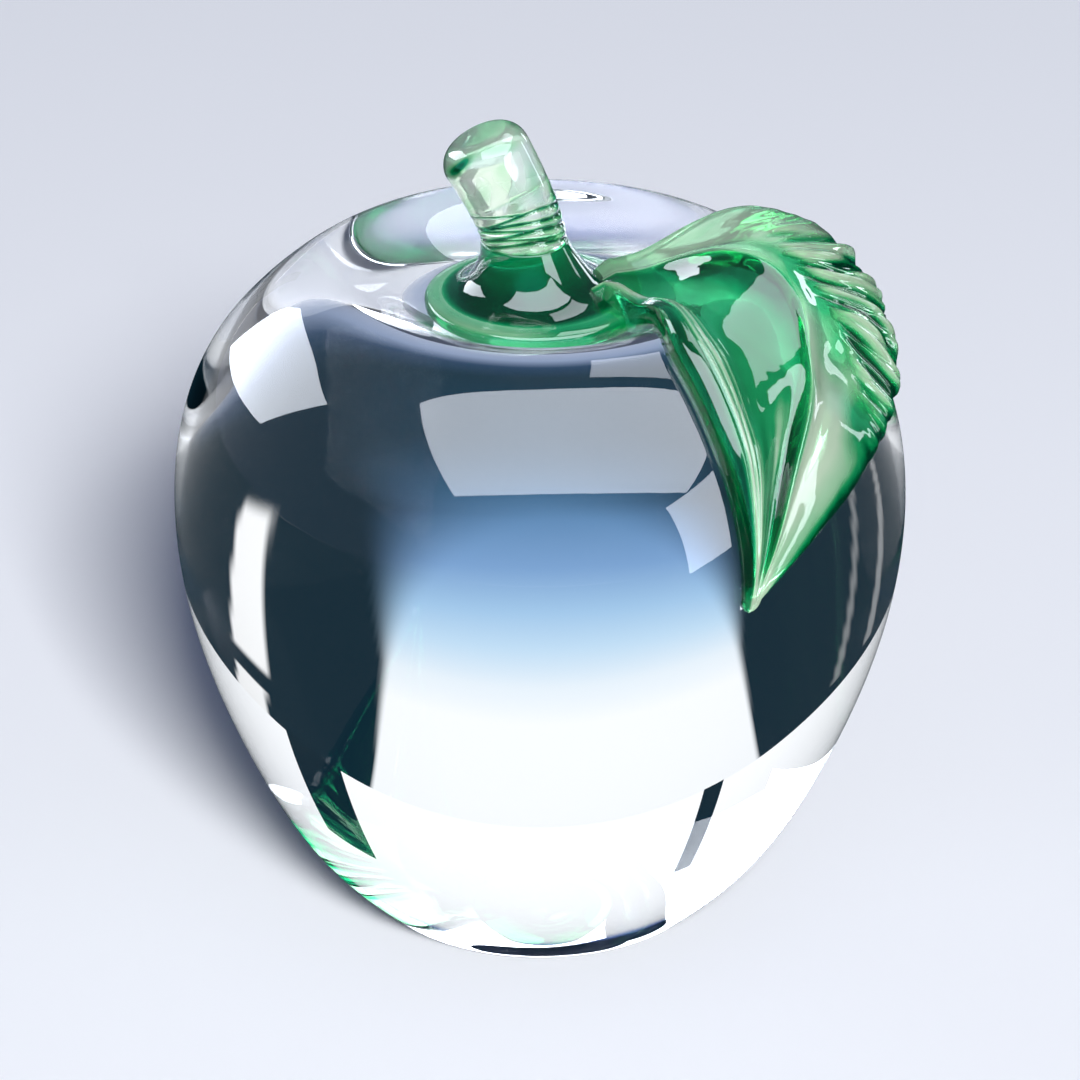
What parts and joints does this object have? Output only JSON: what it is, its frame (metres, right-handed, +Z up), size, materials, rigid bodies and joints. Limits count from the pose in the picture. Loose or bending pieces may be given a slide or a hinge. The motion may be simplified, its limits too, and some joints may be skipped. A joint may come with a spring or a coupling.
{
  "type": "art glass apple",
  "caption": "Solid clear crystal apple with a dished top, a green glass foot and leaning stem, and a ribbed green leaf draped over one shoulder.",
  "frame": {"origin": "centre of the polished flat base, in the plane that the apple stands on", "axes": "+Z up through the crystal apple's axis; -Y is the front, +X the right as seen from the front, and the leaf lies over the front right shoulder"},
  "size_m": [0.089, 0.089, 0.1016],
  "materials": {
    "crystal": "clear lead-free crystal, fire-polished, with a ground and polished base",
    "stem_glass": "pale green transparent soda-lime glass, fire-polished with fine drawn wrinkles",
    "foot_glass": "deep green transparent glass, fire-polished",
    "leaf_glass": "green transparent glass, pressed with ribs and fire-polished"
  },
  "bodies": {
    "root": {"crystal_body": "crystal", "stem_foot": "foot_glass", "stem": "stem_glass", "leaf": "leaf_glass"}
  },
  "joints": []
}
